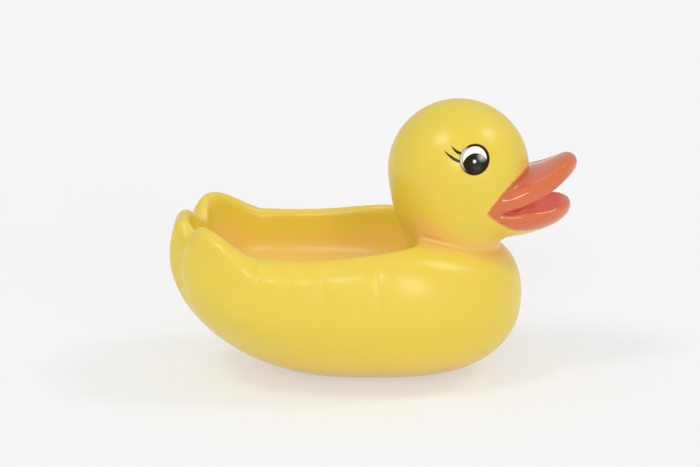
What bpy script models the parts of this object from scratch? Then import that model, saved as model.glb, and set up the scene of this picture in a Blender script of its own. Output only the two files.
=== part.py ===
"""Bath duck with a basin in its back: a hollow soft-vinyl shell, and the squeaker plug in its base.

Metres, +Z up, bill towards +X. The origin is on the ground, midway between tail and bill tip.
"""

import math

import bmesh
import bpy
import numpy as np

MM = 0.001

# The hull, seen from the side and from above
HULL_MIDDLE = -9.5 * MM  # where the front and rear halves of its plan meet
CHEST_REACH = 72.3 * MM  # origin to the front of the chest
CHEST_ROOT = 16.5 * MM  # where the chest's curve leaves the foot
CHEST_LEVEL = 41.0 * MM  # height of the chest's foremost point
CHEST_ABOVE = 42.0 * MM  # height of the ellipse that draws the chest in again
CHEST_POWER = 2.3  # superellipse power of the chest's curve
TAIL_REACH = 98.5 * MM  # origin to the end of the tail
TAIL_ROOT = 13.5 * MM
TAIL_LEVEL = 60.0 * MM
TAIL_ABOVE = 60.0 * MM
BEAM = 118.0 * MM  # greatest width
BEAM_LEVEL = 42.0 * MM
BEAM_ABOVE = 62.0 * MM
WING_ABOVE = 95.0 * MM  # the same at the stern, where the sides stand up more
WING_ABOVE_FROM = 40.0 * MM  # how far behind the origin that change starts
WING_ABOVE_TO = 75.0 * MM
BILGE_POWER = 2.1  # the same for the sides and the stern
PLAN_POWER = 2.1  # of the plan, which is nearly an ellipse
STERN_POWER = 3.4  # of the rear plan at the rim, which is blunt
FOOT_CUT = 0.4 * MM  # how much of the round bottom the flat foot takes off

# The rim, which sweeps up to two wing tips and a tail
RIM_LOW = 67.2 * MM  # height at its lowest point
RIM_LOW_AT = -35.0 * MM
BOW_RISE = 4.0 * MM
BOW_RISE_RUN = 66.0 * MM
BOW_FALL = 4.0 * MM  # how far the shoulders slope down again towards the chest
BOW_FALL_FROM = 10.0 * MM
BOW_FALL_TO = 50.0 * MM
STERN_RISE = 15.0 * MM
STERN_RISE_FROM = 58.0 * MM
STERN_RISE_TO = 84.5 * MM
STERN_RISE_POWER = 1.5
RIM_ROUND = 5.0 * MM  # height of the arch that closes the rim
SHOULDER_ROUND = 11.0 * MM  # of the same arch at the bow, where it makes the shoulders
SHOULDER_FROM = -10.0 * MM
SHOULDER_TO = 40.0 * MM
RIM_PEAK = 0.5  # how far across the arch its top lies
SHOULDER_PEAK = 0.8  # the same at the bow, where the neck stands
NOTCH_AT = 17.0 * MM  # the notches between tail and wing tips, either side of the middle
NOTCH_IN = 5.0 * MM  # width towards the tail
NOTCH_OUT = 9.0 * MM  # width towards the wing tip
NOTCH_DEPTH = 6.5 * MM  # how far the rim dips there
NOTCH_PULL = 4.0 * MM  # how far the stern is pulled in there
TAIL_DROP = 4.0 * MM  # how much lower the tail stands than the wing tips
WING_PULL = 3.0 * MM  # how far the wing tips end ahead of the tail

# The basin
BASIN_FLOOR = 42.0 * MM
BASIN_MIDDLE = -31.5 * MM
BASIN_FRONT = 22.5 * MM
GUNWALE = 15.5 * MM  # from the hull's greatest width in to the basin's floor
STERN_THICK = 12.0 * MM  # from the end of the tail in to the basin's floor
BASIN_DRAFT = 0.06  # how much the walls lean out for each unit of height
BASIN_FRONT_POWER = 4.0
BASIN_REAR_POWER = 2.4
FLOOR_ROUND = 11.0 * MM

# The head on its neck
SKULL_AT = 41.2 * MM
SKULL_LEVEL = 101.2 * MM
SKULL_RADIUS = 34.0 * MM
CHIN_REACH = 75.0 * MM
NECK_FRONT = 60.0 * MM
NECK_BACK = 15.4 * MM
NECK_WIDTH = 54.0 * MM
NECK_LEVEL = 66.2 * MM  # the crease between neck and shoulders
# Rings from the neck to the cheeks. Each gives its height as a share of the way from the crease to the
# skull's middle, and its front, back and half width as shares of the way from the neck's to the head's.
HEAD_RINGS = (
    (-0.23, -0.09, -0.23, -0.14),
    (0.0, 0.0, 0.0, 0.0),
    (0.037, 0.36, 0.06, 0.04),
    (0.096, 0.86, 0.17, 0.13),
    (0.192, 0.97, 0.34, 0.29),
    (0.388, 1.0, 0.67, 0.57),
    (0.612, 1.0, 0.88, 0.84),
)
NECK_ROOT = (-0.25, -0.38, -0.36)  # the last three of those for the ring inside the hull
CROWN_TURN = 0.97  # the last ring of the skull, as a share of the quarter turn to its top

# The bill
BILL_ROOT = 52.5 * MM
BILL_REACH = 98.5 * MM
BILL_WIDTH = 57.0 * MM
BILL_POWER = 2.3  # superellipse power of its plan
SECTION_SIDE = 0.8  # powers of the cosine and the sine in its rounded cross-section
SECTION_FLAT = 0.5
TIP_THIN = 0.4  # power by which the cross-section thins as it narrows
BILL_HEEL_TURN = -0.2  # first and last cross-section, as shares of the quarter turn from root to tip
BILL_TIP_TURN = 0.985
BILL_TOP = 102.0 * MM
BILL_TIP_RISE = 7.6 * MM
BILL_RISE_FROM = 74.0 * MM
BILL_RISE_TO = 96.0 * MM
GAPE_LEVEL = 85.8 * MM  # height of the mouth's corners
GAPE_RISE = 15.2 * MM  # how far the upper lip climbs to the tip
LIP = 5.0 * MM
PALATE = 3.5 * MM
LOWER_REACH = 95.3 * MM
LOWER_DEPTH = 15.0 * MM
LOWER_WIDTH = 56.0 * MM
LOWER_LIP_RISE = 1.2 * MM
LOWER_SCOOP = 4.0 * MM
SCOOP_FROM = 0.2  # the scoop deepens over this part of the run from the mouth's corners to the tip
SCOOP_TO = 0.7
LOWER_LIP = 1.5 * MM
LOWER_FLARE = 0.9  # how far the keel's curve is followed towards the edges, up to 1

# The wall, the squeaker's seat and the squeaker
WALL = 2.2 * MM
SQUEAKER_AT = 14.0 * MM
BARREL_DIAMETER = 10.0 * MM
BARREL_LENGTH = 7.0 * MM
FLANGE_DIAMETER = 15.0 * MM
FLANGE_THICK = 1.2 * MM
FLANGE_SUNK = 0.4 * MM  # the flange's face lies this far above the ground
BLOW_HOLE = 2.2 * MM
REED_CHAMBER = 6.0 * MM
SEAT_WALL = 2.4 * MM  # vinyl left above the flange
SEAT_MARGIN = 3.0 * MM  # vinyl left round the flange
CLEARANCE = 0.3 * MM
SEAT_LEVEL = FLANGE_SUNK + FLANGE_THICK + CLEARANCE
BOSS_LEVEL = SEAT_LEVEL + SEAT_WALL

TAIL_CROWDING = 1.6  # power that draws the hull's columns of points together towards the notches


def clear_scene():
    for item in list(bpy.data.objects):
        bpy.data.objects.remove(item)


def make_material(name, colour, roughness):
    finish = bpy.data.materials.new(name)
    finish.use_nodes = True
    shader = finish.node_tree.nodes["Principled BSDF"]
    shader.inputs["Base Color"].default_value = (*colour, 1.0)
    shader.inputs["Roughness"].default_value = roughness
    shader.inputs["Metallic"].default_value = 0.0
    return finish


def ease(value, start, end):
    """0 before start, 1 after end, and the cubic 3t^2 - 2t^3 between them."""
    t = np.clip((value - start) / (end - start), 0, 1)
    return t * t * (3 - 2 * t)


def swell(height, level, above, power):
    """Share of the full reach: 1 at its level, along a superellipse below it and an ellipse above it."""
    down = np.clip((level - height) / (level + FOOT_CUT), 0, 1)
    up = np.clip((height - level) / above, 0, 1)
    return (1 - down**power) ** (1 / power) * np.sqrt(1 - up**2)


def power_plan(angle, front, rear, half_width, front_power, rear_power):
    """Offsets along X and Y of a plan made of two half superellipses that meet at their widest."""
    ahead = np.cos(angle) > 0
    power = np.where(ahead, front_power, rear_power)
    reach = np.where(ahead, front, rear)
    along = reach * np.sign(np.cos(angle)) * np.abs(np.cos(angle)) ** (2 / power)
    across = half_width * np.sign(np.sin(angle)) * np.abs(np.sin(angle)) ** (2 / power)
    return along, across


def notch(x, y):
    """A bell curve across each notch beside the tail, 1 at its middle, that fades out ahead of the stern."""
    away = np.abs(y) - NOTCH_AT
    bell = np.exp(-((away / np.where(away > 0, NOTCH_OUT, NOTCH_IN)) ** 2))
    return bell * ease(-x, STERN_RISE_FROM, STERN_RISE_TO)


def beyond_notch(y):
    """0 on the tail and 1 on the wings."""
    return ease(np.abs(y), NOTCH_AT, NOTCH_AT + NOTCH_OUT)


def rim_height(x, y):
    """The rim: low amidships, a little higher at the bow, and swept up at the stern with two notches."""
    bow = BOW_RISE * ease(x, RIM_LOW_AT, RIM_LOW_AT + BOW_RISE_RUN)
    shoulders = BOW_FALL * ease(x, BOW_FALL_FROM, BOW_FALL_TO)
    run = np.clip((-x - STERN_RISE_FROM) / (STERN_RISE_TO - STERN_RISE_FROM), 0, 1)
    tail = TAIL_DROP * ease(run, 0, 1) * (1 - beyond_notch(y))
    return RIM_LOW + bow - shoulders + STERN_RISE * run**STERN_RISE_POWER - tail - NOTCH_DEPTH * notch(x, y)


def outer_plan(angle, height):
    """The hull's outside at a height: its three reaches are swells, and the stern is blunter higher up."""
    chest = (CHEST_REACH - CHEST_ROOT) * swell(height, CHEST_LEVEL, CHEST_ABOVE, CHEST_POWER)
    tail = (TAIL_REACH - TAIL_ROOT) * swell(height, TAIL_LEVEL, TAIL_ABOVE, BILGE_POWER)
    high = ease(height, TAIL_LEVEL / 3, TAIL_LEVEL)
    rear_power = PLAN_POWER + (STERN_POWER - PLAN_POWER) * high
    front = CHEST_ROOT + chest - HULL_MIDDLE
    rear = TAIL_ROOT + tail + HULL_MIDDLE
    along, share = power_plan(angle, front, rear, 1, PLAN_POWER, rear_power)
    x = HULL_MIDDLE + along
    above = BEAM_ABOVE + (WING_ABOVE - BEAM_ABOVE) * ease(-x, WING_ABOVE_FROM, WING_ABOVE_TO)
    y = BEAM / 2 * swell(height, BEAM_LEVEL, above, BILGE_POWER) * share
    stern = ease(-x, STERN_RISE_FROM, STERN_RISE_TO)
    return x + high * (NOTCH_PULL * notch(x, y) + WING_PULL * beyond_notch(y) * stern), y


def inner_plan(angle, height):
    """The basin's wall at a height: a plan with a blunt front, whose walls lean out as they rise."""
    lean = BASIN_DRAFT * (height - BASIN_FLOOR)
    front = BASIN_FRONT - BASIN_MIDDLE
    rear = TAIL_REACH - STERN_THICK + BASIN_MIDDLE + lean
    half = BEAM / 2 - GUNWALE + lean
    along, across = power_plan(angle, front, rear, half, BASIN_FRONT_POWER, BASIN_REAR_POWER)
    pull = NOTCH_PULL * notch(BASIN_MIDDLE + along, across) * ease(height, BASIN_FLOOR, TAIL_LEVEL)
    return BASIN_MIDDLE + along + pull, across


def around(front_columns, rear_columns):
    """Angles round the plan, closer together towards the tail, where the notches are."""
    rear = math.pi - math.pi / 2 * np.linspace(0, 1, rear_columns + 1) ** TAIL_CROWDING
    front = np.linspace(0, math.pi / 2, front_columns + 1)
    half = np.concatenate([front[:-1], rear[::-1]])
    return np.concatenate([half, -half[-2:0:-1]])


def ring_angles(count):
    """Even angles that miss the middle plane, so that no edge of the head lies on one of the hull's."""
    return (np.arange(count) + 0.5) * 2 * math.pi / count


def bowl_rows(angle, outside, arch, inside, fillet):
    """Rows of points up the outside, over the rim's arch and down to the middle of the basin's floor."""
    edge_x, edge_y = outer_plan(angle, np.full_like(angle, RIM_LOW))
    top = rim_height(edge_x, edge_y)
    bow = ease(edge_x, SHOULDER_FROM, SHOULDER_TO)
    outer_round = RIM_ROUND + (SHOULDER_ROUND - RIM_ROUND) * bow
    peak = RIM_PEAK + (SHOULDER_PEAK - RIM_PEAK) * bow
    rows = []
    for share in 1 - np.cos(np.linspace(0, math.pi / 2, outside + 1)):
        height = (top - outer_round) * share
        rows.append((*outer_plan(angle, height), height))
    outer_x, outer_y = outer_plan(angle, top - outer_round)
    inner_x, inner_y = inner_plan(angle, top - RIM_ROUND)
    for turn in np.linspace(0, math.pi, arch + 2)[1:-1]:
        rising = turn < math.pi / 2
        share = peak * (1 - math.cos(turn)) if rising else peak - (1 - peak) * math.cos(turn)
        height = top - (outer_round if rising else RIM_ROUND) * (1 - math.sin(turn))
        x = outer_x + share * (inner_x - outer_x)
        y = outer_y + share * (inner_y - outer_y)
        rows.append((x, y, height))
    foot = BASIN_FLOOR + FLOOR_ROUND
    for share in np.linspace(0, 1, inside + 1):
        height = top - RIM_ROUND + share * (foot - top + RIM_ROUND)
        rows.append((*inner_plan(angle, height), height))
    for turn in np.linspace(0, math.pi / 2, fillet + 1)[1:]:
        height = np.full_like(angle, foot - FLOOR_ROUND * math.sin(turn))
        x, y = inner_plan(angle, height)
        shrink = 1 - FLOOR_ROUND * (1 - math.cos(turn)) / (BEAM / 2 - GUNWALE)
        rows.append((BASIN_MIDDLE + (x - BASIN_MIDDLE) * shrink, y * shrink, height))
    return rows


def head_rows(angle, cap):
    """Rings of the neck, the cheeks and the skull, as ellipses between a front, a back and a half width."""
    span = SKULL_LEVEL - NECK_LEVEL
    root = (BASIN_FLOOR - 2 * WALL - NECK_LEVEL) / span
    rows = []
    for rise, ahead, behind, out in ((root, *NECK_ROOT), *HEAD_RINGS):
        front = NECK_FRONT + ahead * (CHIN_REACH - NECK_FRONT)
        back = NECK_BACK + behind * (SKULL_AT - SKULL_RADIUS - NECK_BACK)
        half = NECK_WIDTH / 2 + out * (SKULL_RADIUS - NECK_WIDTH / 2)
        x = (front + back) / 2 + (front - back) / 2 * np.cos(angle)
        rows.append((x, half * np.sin(angle), np.full_like(angle, NECK_LEVEL + rise * span)))
    for turn in np.linspace(0, CROWN_TURN * math.pi / 2, cap):
        radius = SKULL_RADIUS * math.cos(turn)
        height = SKULL_LEVEL + SKULL_RADIUS * math.sin(turn)
        rows.append((SKULL_AT + radius * np.cos(angle), radius * np.sin(angle), np.full_like(angle, height)))
    return rows


def bill_rows(angle, stations, reach, width, top_of, bottom_of):
    """Rounded boxes between an upper and a lower surface, one behind the other, narrowing to a round tip."""
    rows = []
    across = np.sign(np.cos(angle)) * np.abs(np.cos(angle)) ** SECTION_SIDE
    above = np.sign(np.sin(angle)) * np.abs(np.sin(angle)) ** SECTION_FLAT
    for turn in np.linspace(BILL_HEEL_TURN, BILL_TIP_TURN, stations) * math.pi / 2:
        x = BILL_ROOT + (reach - BILL_ROOT) * math.sin(turn)
        narrow = (1 - max(math.sin(turn), 0) ** BILL_POWER) ** (1 / BILL_POWER)
        y = width / 2 * narrow * across
        upper, lower = top_of(x, across), bottom_of(x, across)
        thick = (upper - lower) * narrow**TIP_THIN
        rows.append((np.full_like(angle, x), y, (upper + lower) / 2 + thick / 2 * above))
    return rows


def bill_run(x, reach):
    """0 at the mouth's corners and 1 at the tip."""
    return np.clip((x - BILL_ROOT) / (reach - BILL_ROOT), 0, 1)


def gape(x):
    """Height of the upper lip's edge: level at the mouth's corners and climbing as a parabola to the tip."""
    return GAPE_LEVEL + GAPE_RISE * bill_run(x, BILL_REACH) ** 2


def upper_top(x, share):
    """The ridge in the middle and the lip's top at the sides, which meet in the turned-up tip."""
    ridge = BILL_TOP + BILL_TIP_RISE * ease(x, BILL_RISE_FROM, BILL_RISE_TO)
    tip_lip = BILL_TOP + BILL_TIP_RISE - GAPE_LEVEL - GAPE_RISE
    edge = gape(x) + LIP + (tip_lip - LIP) * bill_run(x, BILL_REACH) ** 3
    return edge + np.maximum(ridge - edge, 0) * (1 - share**2)


def upper_bottom(x, share):
    return gape(x) + PALATE * (1 - share**2) * (1 - bill_run(x, BILL_REACH) ** 2)


def lower_top(x, share):
    """A spoon: a nearly level lip with a scoop that starts in the mouth and ends short of the tip."""
    run = bill_run(x, LOWER_REACH)
    scoop = ease(run, SCOOP_FROM, SCOOP_TO) * np.sqrt(1 - run**4)
    return GAPE_LEVEL + LOWER_LIP_RISE * run - LOWER_SCOOP * (1 - share**2) * scoop


def lower_bottom(x, share):
    """A quarter of an ellipsoid, whose edge lies a little under the lip."""
    depth = LOWER_DEPTH * np.sqrt(1 - bill_run(x, LOWER_REACH) ** 2)
    return GAPE_LEVEL - LOWER_LIP - depth * np.sqrt(1 - LOWER_FLARE * share**2)


def lofted(name, rows, finish):
    """A closed object through rings of points, each end closed by a fan onto its middle."""
    mesh = bmesh.new()
    rings = []
    for x, y, z in rows:
        rings.append([mesh.verts.new(point) for point in zip(x, y, z)])
    for ring, following in zip(rings, rings[1:]):
        for i in range(len(ring)):
            j = (i + 1) % len(ring)
            mesh.faces.new((ring[i], ring[j], following[j], following[i]))
    for ring in (rings[0], rings[-1]):
        middle = mesh.verts.new(np.mean([vert.co for vert in ring], axis=0))
        for i in range(len(ring)):
            mesh.faces.new((ring[i], ring[(i + 1) % len(ring)], middle))
    bmesh.ops.recalc_face_normals(mesh, faces=mesh.faces)
    return placed(name, mesh, finish)


def placed(name, mesh, finish):
    """Puts a bmesh into the scene as an object, shaded smooth except along its sharp edges."""
    data = bpy.data.meshes.new(name)
    mesh.to_mesh(data)
    mesh.free()
    data.materials.append(finish)
    data.shade_smooth()
    data.set_sharp_from_angle(angle=math.radians(40))
    item = bpy.data.objects.new(name, data)
    bpy.context.scene.collection.objects.link(item)
    return item


def moved_inwards(item, distance):
    """Moves each point of a closed object inwards along its normal, to where a wall would leave air."""
    mesh = bmesh.new()
    mesh.from_mesh(item.data)
    mesh.normal_update()
    for vert in mesh.verts:
        vert.co -= vert.normal * distance
    mesh.to_mesh(item.data)
    mesh.free()
    return item


def turned(name, profile, at, finish, segments=24):
    """A closed profile of (radius, height) pairs, turned about the vertical line at x = at."""
    mesh = bmesh.new()
    verts = [mesh.verts.new((radius, 0, height)) for radius, height in profile]
    edges = [mesh.edges.new((verts[i], verts[(i + 1) % len(verts)])) for i in range(len(verts))]
    full = {"cent": (0, 0, 0), "axis": (0, 0, 1), "angle": 2 * math.pi, "use_merge": True}
    bmesh.ops.spin(mesh, geom=verts + edges, steps=segments, use_duplicate=False, **full)
    bmesh.ops.remove_doubles(mesh, verts=mesh.verts, dist=0.01 * MM)
    bmesh.ops.recalc_face_normals(mesh, faces=mesh.faces)
    item = placed(name, mesh, finish)
    item.location.x = at
    return item


def cylinder(name, at, radius, low, high, finish, segments=32):
    mesh = bmesh.new()
    size = {"radius1": radius, "radius2": radius, "depth": high - low}
    bmesh.ops.create_cone(mesh, cap_ends=True, segments=segments, **size)
    item = placed(name, mesh, finish)
    item.location = (at, 0, (low + high) / 2)
    return item


def combine(item, operation, other):
    """Adds a Boolean to item, and hides the other object, which only lends its shape."""
    step = item.modifiers.new(f"{operation.lower()} {other.name}", "BOOLEAN")
    step.operation = operation
    step.object = other
    step.solver = "EXACT"
    step.material_mode = "TRANSFER"
    other.hide_render = True
    other.display_type = "WIRE"


def make_shell(vinyl, paint):
    hull = bowl_rows(around(14, 22), outside=12, arch=6, inside=3, fillet=3)
    shell = lofted("duck_shell", hull, vinyl)
    combine(shell, "UNION", lofted("head", head_rows(ring_angles(36), cap=9), vinyl))
    corners = np.linspace(0, 2 * math.pi, 24, endpoint=False)
    upper = bill_rows(corners, 13, BILL_REACH, BILL_WIDTH, upper_top, upper_bottom)
    combine(shell, "UNION", lofted("upper_bill", upper, paint))
    lower = bill_rows(corners, 13, LOWER_REACH, LOWER_WIDTH, lower_top, lower_bottom)
    combine(shell, "UNION", lofted("lower_bill", lower, paint))
    return shell


def make_hollow(vinyl):
    """The air inside: the hull's and the head's outsides, moved in by the wall, less the squeaker's boss."""
    hull = bowl_rows(around(9, 12), outside=8, arch=4, inside=2, fillet=2)
    hollow = moved_inwards(lofted("hollow", hull, vinyl), WALL)
    head = lofted("head_hollow", head_rows(ring_angles(24), cap=6), vinyl)
    combine(hollow, "UNION", moved_inwards(head, WALL))
    boss = FLANGE_DIAMETER / 2 + SEAT_MARGIN
    combine(hollow, "DIFFERENCE", cylinder("boss", SQUEAKER_AT, boss, -WALL, BOSS_LEVEL, vinyl))
    return hollow


def make_squeaker(finish):
    """A flanged barrel with a reed chamber open to the inside and a blow hole through its face."""
    face = FLANGE_SUNK
    back = face + FLANGE_THICK
    end = face + BARREL_LENGTH
    profile = [
        (BLOW_HOLE / 2, face),
        (FLANGE_DIAMETER / 2, face),
        (FLANGE_DIAMETER / 2, back),
        (BARREL_DIAMETER / 2, back),
        (BARREL_DIAMETER / 2, end),
        (REED_CHAMBER / 2, end),
        (REED_CHAMBER / 2, back),
        (BLOW_HOLE / 2, back),
    ]
    return turned("squeaker", profile, SQUEAKER_AT, finish)


def main():
    clear_scene()
    vinyl = make_material("soft_vinyl_yellow", (0.80, 0.62, 0.12), 0.35)
    paint = make_material("bill_paint_orange", (0.68, 0.16, 0.07), 0.28)
    plastic = make_material("plug_plastic_white", (0.85, 0.85, 0.82), 0.4)
    shell = make_shell(vinyl, paint)
    combine(shell, "DIFFERENCE", make_hollow(vinyl))
    seat = FLANGE_DIAMETER / 2 + CLEARANCE
    bore = BARREL_DIAMETER / 2 + CLEARANCE
    combine(shell, "DIFFERENCE", cylinder("flange_recess", SQUEAKER_AT, seat, -WALL, SEAT_LEVEL, vinyl))
    combine(shell, "DIFFERENCE", cylinder("barrel_bore", SQUEAKER_AT, bore, -WALL, BOSS_LEVEL + WALL, vinyl))
    make_squeaker(plastic)


main()
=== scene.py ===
# %% [markdown]
# # A bath duck with a basin in its back
#
# The duck is one soft-vinyl shell: a boat-like hull with an open basin, a round head on a short neck,
# and a painted bill that stands open. A small squeaker plug sits in the flat of the base. This notebook
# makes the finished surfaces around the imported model, which fixes the sizes and the place of each piece.
# The steps are the frame and the camera, the shape as a field, the mesh, the vinyl and its paint, the
# printed eyes and lashes, the plug, and last the floor and the light.

import math

import bpy
import numpy as np
from mathutils import Matrix, Vector


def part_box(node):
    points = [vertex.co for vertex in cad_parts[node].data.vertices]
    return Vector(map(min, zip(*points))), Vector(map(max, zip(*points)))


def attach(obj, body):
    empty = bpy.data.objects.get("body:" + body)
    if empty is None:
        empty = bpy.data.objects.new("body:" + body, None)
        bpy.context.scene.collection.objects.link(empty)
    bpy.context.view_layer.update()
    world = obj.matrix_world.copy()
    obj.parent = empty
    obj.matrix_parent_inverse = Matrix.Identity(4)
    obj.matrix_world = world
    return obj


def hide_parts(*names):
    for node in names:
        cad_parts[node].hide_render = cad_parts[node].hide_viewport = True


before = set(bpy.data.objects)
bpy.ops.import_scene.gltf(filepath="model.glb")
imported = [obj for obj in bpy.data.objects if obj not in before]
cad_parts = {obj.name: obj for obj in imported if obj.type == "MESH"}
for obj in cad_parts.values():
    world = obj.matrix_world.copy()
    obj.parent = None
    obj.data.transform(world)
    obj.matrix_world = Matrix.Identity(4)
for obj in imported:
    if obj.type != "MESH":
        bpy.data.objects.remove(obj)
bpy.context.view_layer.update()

# %% [markdown]
# ## The camera
#
# The view is from the duck's right side, a little above it, with a long lens: the base and the brim of
# the basin show as narrow ellipses. From the ratio of such an ellipse's axes the camera looks down by
# about 15 degrees. The length of the duck covers 402 of the 700 pixels, which gives the scale, and
# with it the lens for a camera at a chosen distance.

# %% Place the camera
MM = 0.001
FRAME_WIDTH = 700
SCALE = 2040.0  # pixels for each metre at the duck
BASE_TO_MIDDLE = 135.5  # pixels from the duck's base line up to the middle of the picture
SENSOR = 36.0
DISTANCE = 1.5
CAMERA_DROP = math.radians(15.3)
AIM = Vector((-0.011049, 0.0, 0.0))
AIM_RISE = BASE_TO_MIDDLE / SCALE


def add_camera():
    """Looks along +Y and down: the axis back to the camera is (0, -cos e, sin e) for a drop of e."""
    back = Vector((0, -math.cos(CAMERA_DROP), math.sin(CAMERA_DROP)))
    right = Vector((1, 0, 0))
    up = back.cross(right)
    target = AIM + up * AIM_RISE
    data = bpy.data.cameras.new("camera")
    data.sensor_width = SENSOR
    data.lens = SENSOR * DISTANCE * SCALE / FRAME_WIDTH
    camera = bpy.data.objects.new("camera", data)
    bpy.context.scene.collection.objects.link(camera)
    turn = Matrix((right, up, back)).transposed().to_4x4()
    camera.matrix_world = Matrix.Translation(target + back * DISTANCE) @ turn
    bpy.context.scene.camera = camera
    return camera


camera = add_camera()
print("lens, mm:", round(camera.data.lens, 1))

# %% [markdown]
# ## Two ways to make such a body
#
# A surface that is a grid of two parameters suits a hull or a head alone. On this toy, neck, cheeks, bill
# and shoulders flow into one another, because it is spun of soft vinyl in a single closed mould, and
# the grids would have to be cut and welded along every one of those soft valleys. So the shell is a
# field instead: a function of x, y and z, worked out on whole arrays, that is below zero in the vinyl
# and above zero outside. Shapes are joined with a smooth minimum and cut with a smooth maximum, and the
# width of that smoothing is the fillet of the valley or the rounding of the edge. Flat things, such as
# the eyes and the plug, are made as two-parameter grids further down.
#
# The field is worked out in millimetres, which keeps its numbers readable.

# %% Blending helpers


def ease(value, start, end):
    """0 before start, 1 after end, and 3t^2 - 2t^3 between them."""
    t = np.clip((value - start) / (end - start), 0, 1)
    return t * t * (3 - 2 * t)


def smooth_min(a, b, width):
    """min(a, b), rounded where the two are nearer than width.

    It is b (1 - h) + a h - width h (1 - h), where h = 1/2 + (b - a) / (2 width), kept from 0 to 1.
    """
    h = np.clip(0.5 + 0.5 * (b - a) / width, 0, 1)
    return b * (1 - h) + a * h - width * h * (1 - h)


def smooth_max(a, b, width):
    """max(a, b), rounded in the same way, from max(a, b) = -min(-a, -b)."""
    return -smooth_min(-a, -b, width)


def bell(value, middle, width):
    """exp(-(value - middle)^2 / width^2), which is 1 in the middle and fades on both sides."""
    return np.exp(-(((value - middle) / width) ** 2))


def plan_distance(x, y, reach, half, power):
    """Signed distance along the ray from the middle to the outline (x/reach)^p + (y/half)^p = 1."""
    share = (np.abs(x / reach) ** power + np.abs(y / half) ** power) ** (1 / power)
    radius = np.hypot(x, y)
    return radius - radius / np.maximum(share, 1e-6)


def ellipsoid(x, y, z, middle, radii):
    """q(q-1)/|grad q| for q = |(p - middle)/radii|, which is close to the distance near the surface."""
    u = (x - middle[0]) / radii[0]
    v = (y - middle[1]) / radii[1]
    w = (z - middle[2]) / radii[2]
    q = np.sqrt(u * u + v * v + w * w)
    slope = np.sqrt((u / radii[0]) ** 2 + (v / radii[1]) ** 2 + (w / radii[2]) ** 2)
    return q * (q - 1) / np.maximum(slope, 1e-9)


print("smooth_min(0, 0, 4), a quarter of the width lower:", float(smooth_min(0.0, 0.0, 4.0)))

# %% [markdown]
# ## The hull
#
# Seen from above the hull is nearly an ellipse, a little blunter astern. Its three reaches, to the chest,
# to the tail and to the sides, grow with height as a quarter of a superellipse and shrink again as a
# quarter of an ellipse, so the keel is round and the sides lean in towards the brim. The overall sizes
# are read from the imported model, so that the skin fills its box and never leaves it.

# %% Sizes of the hull
low, high = (np.array(corner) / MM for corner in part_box("duck_shell"))
SKIN_INSET = 0.05
TAIL_REACH = -low[0] - SKIN_INSET
BILL_REACH = high[0] - SKIN_INSET
BEAM_HALF = high[1] - SKIN_INSET
CROWN = high[2] - SKIN_INSET

HULL_MIDDLE = -9.5
CHEST_REACH, CHEST_ROOT, CHEST_LEVEL, CHEST_ABOVE, CHEST_POWER = 72.3, 16.5, 41.0, 42.0, 2.3
TAIL_ROOT, TAIL_LEVEL, TAIL_ABOVE = 13.5, 60.0, 60.0
BEAM_LEVEL, BEAM_ABOVE, WING_ABOVE = 42.0, 62.0, 95.0
BILGE_POWER, STERN_BILGE_POWER = 2.12, 1.92
PLAN_POWER, STERN_POWER = 2.1, 3.4
FOOT_CUT, FOOT_ROUND = 0.4, 1.2
# A pair is the stretch, in mm along one axis, over which one form eases into the next
BILGE_TURN, WING_TURN, UPPER_TURN = (-20, 30), (40, 75), (20, 60)
print("reach of tail, bill and side, mm:", [round(v, 1) for v in (TAIL_REACH, BILL_REACH, BEAM_HALF)])

# %% [markdown]
# The brim is lowest amidships, rises to the neck and falls again over the chest. Astern it sweeps up into
# three petals: the tail in the middle and a wing tip on each side. Between them lie two notches, which
# dip the brim and draw the stern in, so that each petal has its own rounded end.

# %% The hull's field
BRIM_LOW, BRIM_BOW_RISE, BRIM_BOW_FALL = 69.2, 3.4, 6.4
STERN_RISE, STERN_FROM, STERN_TO = 14.0, 54.0, 84.5
WING_TIP_AT, WING_DROP = 81.5, 0.11
TAIL_DROP = 3.6
NOTCH_AT, NOTCH_IN, NOTCH_OUT = 17.0, 5.0, 9.0
NOTCH_DEPTH, NOTCH_PULL, WING_PULL = 7.5, 4.5, 3.6
BRIM_ROUND, SHOULDER_ROUND, TAIL_ROUND, WING_ROUND = 10.0, 11.5, 5.0, 8.0
BOW_RISES, BOW_FALLS = (-35, 15), (17, 62)
PETALS_GROW, TAIL_SINKS = (57, 82), (70, 86)
WING_DROPS, WING_STARTS = (NOTCH_AT, NOTCH_AT + 8), (NOTCH_AT - 2, NOTCH_AT + 6)
SHOULDER_TURN, STERN_TURN = (0, 40), (55, 84)


def swell(z, level, above, power):
    """(1 - d^p)^(1/p) below the level and sqrt(1 - u^2) above it, with d and u the shares of the way."""
    down = np.clip((level - z) / (level + FOOT_CUT), 0, 1)
    up = np.clip((z - level) / above, 0, 1)
    return (1 - down**power) ** (1 / power) * np.sqrt(1 - up**2)


def notch(x, y):
    """A bell of |y| - at, only at the stern, and narrower towards the tail than towards the wing."""
    away = np.abs(y) - NOTCH_AT
    return bell(away, 0, np.where(away > 0, NOTCH_OUT, NOTCH_IN)) * ease(-x, *PETALS_GROW)


def brim(x, y):
    """Height of the brim before its edge is rounded.

    Astern it rises as t^1.5 (1.6 - 0.6 t^2.5), which is level at its end.
    """
    bow = BRIM_BOW_RISE * ease(x, *BOW_RISES) - BRIM_BOW_FALL * ease(x, *BOW_FALLS)
    t = np.clip((-x - STERN_FROM) / (STERN_TO - STERN_FROM), 0, 1)
    stern = STERN_RISE * t**1.5 * (1.6 - 0.6 * t**2.5)
    wing_side = ease(np.abs(y), *WING_DROPS)
    wing = WING_DROP * np.maximum(-x - WING_TIP_AT, 0) ** 2 * wing_side
    tail = TAIL_DROP * (1 - wing_side) * ease(-x, *TAIL_SINKS)
    return BRIM_LOW + bow + stern - wing - tail - NOTCH_DEPTH * notch(x, y)


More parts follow.
